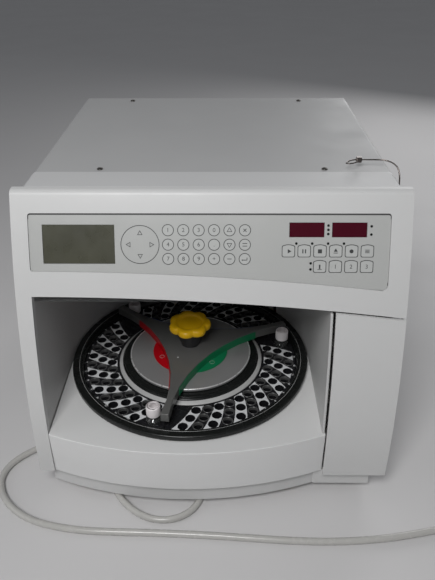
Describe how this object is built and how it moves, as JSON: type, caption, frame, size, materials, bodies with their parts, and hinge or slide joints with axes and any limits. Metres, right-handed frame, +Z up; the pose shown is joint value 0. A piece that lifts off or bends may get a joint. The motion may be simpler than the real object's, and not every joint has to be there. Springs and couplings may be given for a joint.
{
  "type": "autosampler",
  "caption": "Bench autosampler: curved front with display and keypad, open bay with a turning vial carousel, star cover and lock knob, service door, needle unit and drain hose.",
  "frame": {"origin": "on the table, at the middle of the instrument's footprint box, without the hose", "axes": "+Z up, -Y out of the front panel, +X to the right seen from the front"},
  "size_m": [0.6702, 0.5226, 0.3832],
  "materials": {
    "housing_white": "fine texture, satin",
    "frame_white": "fine powder coat",
    "tray_grey": "satin",
    "liner_white": "satin",
    "bay_black": "matt black",
    "overlay_grey": "printed film",
    "display_dark": "glossy",
    "display_red": "glossy filter",
    "foot_rubber": "matt",
    "rim_black": "glossy",
    "ring_grey": "satin",
    "disc_silver": "turned",
    "rack_black": "satin with printed rows",
    "star_grey": "satin",
    "inlay_green": "satin",
    "inlay_blue": "satin",
    "inlay_red": "satin",
    "steel": "fine",
    "dark_plastic": "satin",
    "screw_dark": "blackened",
    "knob_yellow": "satin",
    "vial_glass": "clear",
    "cap_white": "satin",
    "gear_ivory": "moulded",
    "board_green": "solder mask",
    "hose_clear": "milky silicone"
  },
  "bodies": {
    "housing": {"front_bezel": "housing_white", "sample_deck": "housing_white", "front_frame": "frame_white", "top_cover": "frame_white", "rear_panel": "frame_white", "base_tray": "tray_grey", "compartment_liner": "liner_white", "needle_bay": "bay_black", "keypad_overlay": "overlay_grey", "lcd_module": "display_dark", "led_display_left": "display_red", "led_display_right": "display_red", "foot_front_left": "foot_rubber", "foot_front_right": "foot_rubber", "foot_rear_left": "foot_rubber", "foot_rear_right": "foot_rubber", "spindle_bearing": "steel", "needle_rail": "steel", "service_bracket": "steel", "valve_body": "steel", "outlet_capillary": "steel", "capillary_nut": "steel", "carousel_motor": "dark_plastic", "mains_inlet": "dark_plastic", "cover_screw_front_left": "screw_dark", "cover_screw_rear_left": "screw_dark", "cover_screw_front_right": "screw_dark", "cover_screw_rear_right": "screw_dark", "syringe_barrel": "vial_glass", "wash_port": "gear_ivory", "main_board": "board_green", "drain_hose": "hose_clear", "hose_coil": "hose_clear"},
    "carousel": {"carousel_tray": "rim_black", "reference_ring": "ring_grey", "carousel_disc": "disc_silver", "rack_green": "rack_black", "rack_blue": "rack_black", "rack_red": "rack_black", "carousel_spindle": "steel", "carousel_gear": "gear_ivory"},
    "pinion": {"motor_pinion": "steel"},
    "star": {"star_cover": "star_grey", "inlay_green": "inlay_green", "inlay_blue": "inlay_blue", "inlay_red": "inlay_red"},
    "lock": {"knob_collar": "dark_plastic", "lock_knob": "knob_yellow"},
    "large_vial_1": {"vial_1": "vial_glass", "vial_cap_1": "cap_white"},
    "large_vial_2": {"vial_2": "vial_glass", "vial_cap_2": "cap_white"},
    "large_vial_3": {"vial_3": "vial_glass", "vial_cap_3": "cap_white"},
    "carriage": {"needle_carriage": "dark_plastic"},
    "sampling_needle": {"needle": "steel"},
    "door": {"service_door": "housing_white"},
    "rotor": {"valve_rotor": "gear_ivory"},
    "plunger": {"syringe_plunger": "steel"},
    "rocker": {"power_rocker": "dark_plastic"}
  },
  "joints": [
    {"name": "carousel_spin", "type": "hinge", "parent": "housing", "child": "carousel", "pos_m": [-0.0318, -0.06055, 0.096], "axis": [0, 0, 1], "continuous": true},
    {"name": "pinion_spin", "type": "hinge", "parent": "housing", "child": "pinion", "pos_m": [-0.00565, -0.01526, 0.05], "axis": [0, 0, 1], "continuous": true},
    {"name": "star_lift", "type": "slide", "parent": "carousel", "child": "star", "axis": [0, 0, 1], "range_m": [0, 0.055]},
    {"name": "knob_turn", "type": "hinge", "parent": "star", "child": "lock", "pos_m": [-0.0318, -0.06055, 0.136], "axis": [0, 0, 1], "range_deg": [0, 90]},
    {"name": "needle_reach", "type": "slide", "parent": "housing", "child": "carriage", "axis": [0, -1, 0], "range_m": [0, 0.07549]},
    {"name": "needle_plunge", "type": "slide", "parent": "carriage", "child": "sampling_needle", "axis": [0, 0, -1], "range_m": [0, 0.045]},
    {"name": "door_swing", "type": "hinge", "parent": "housing", "child": "door", "pos_m": [0.203, -0.17105, 0.14], "axis": [0, 0, 1], "range_deg": [0, 100]},
    {"name": "valve_turn", "type": "hinge", "parent": "housing", "child": "rotor", "pos_m": [0.172, -0.14905, 0.194], "axis": [0, 1, 0], "range_deg": [0, 60]},
    {"name": "plunger_travel", "type": "slide", "parent": "housing", "child": "plunger", "axis": [0, 0, -1], "range_m": [0, 0.04]},
    {"name": "rocker_tilt", "type": "hinge", "parent": "housing", "child": "rocker", "pos_m": [-0.1055, 0.23345, 0.076], "axis": [1, 0, 0], "range_deg": [0, 16]},
    {"name": "vial_lift_1", "type": "slide", "parent": "carousel", "child": "large_vial_1", "axis": [0, 0, 1], "range_m": [0, 0.045]},
    {"name": "vial_lift_2", "type": "slide", "parent": "carousel", "child": "large_vial_2", "axis": [0, 0, 1], "range_m": [0, 0.045]},
    {"name": "vial_lift_3", "type": "slide", "parent": "carousel", "child": "large_vial_3", "axis": [0, 0, 1], "range_m": [0, 0.045]}
  ],
  "couplings": [
    {"joint": "pinion_spin", "follows": "carousel_spin", "ratio": -3.3333}
  ]
}
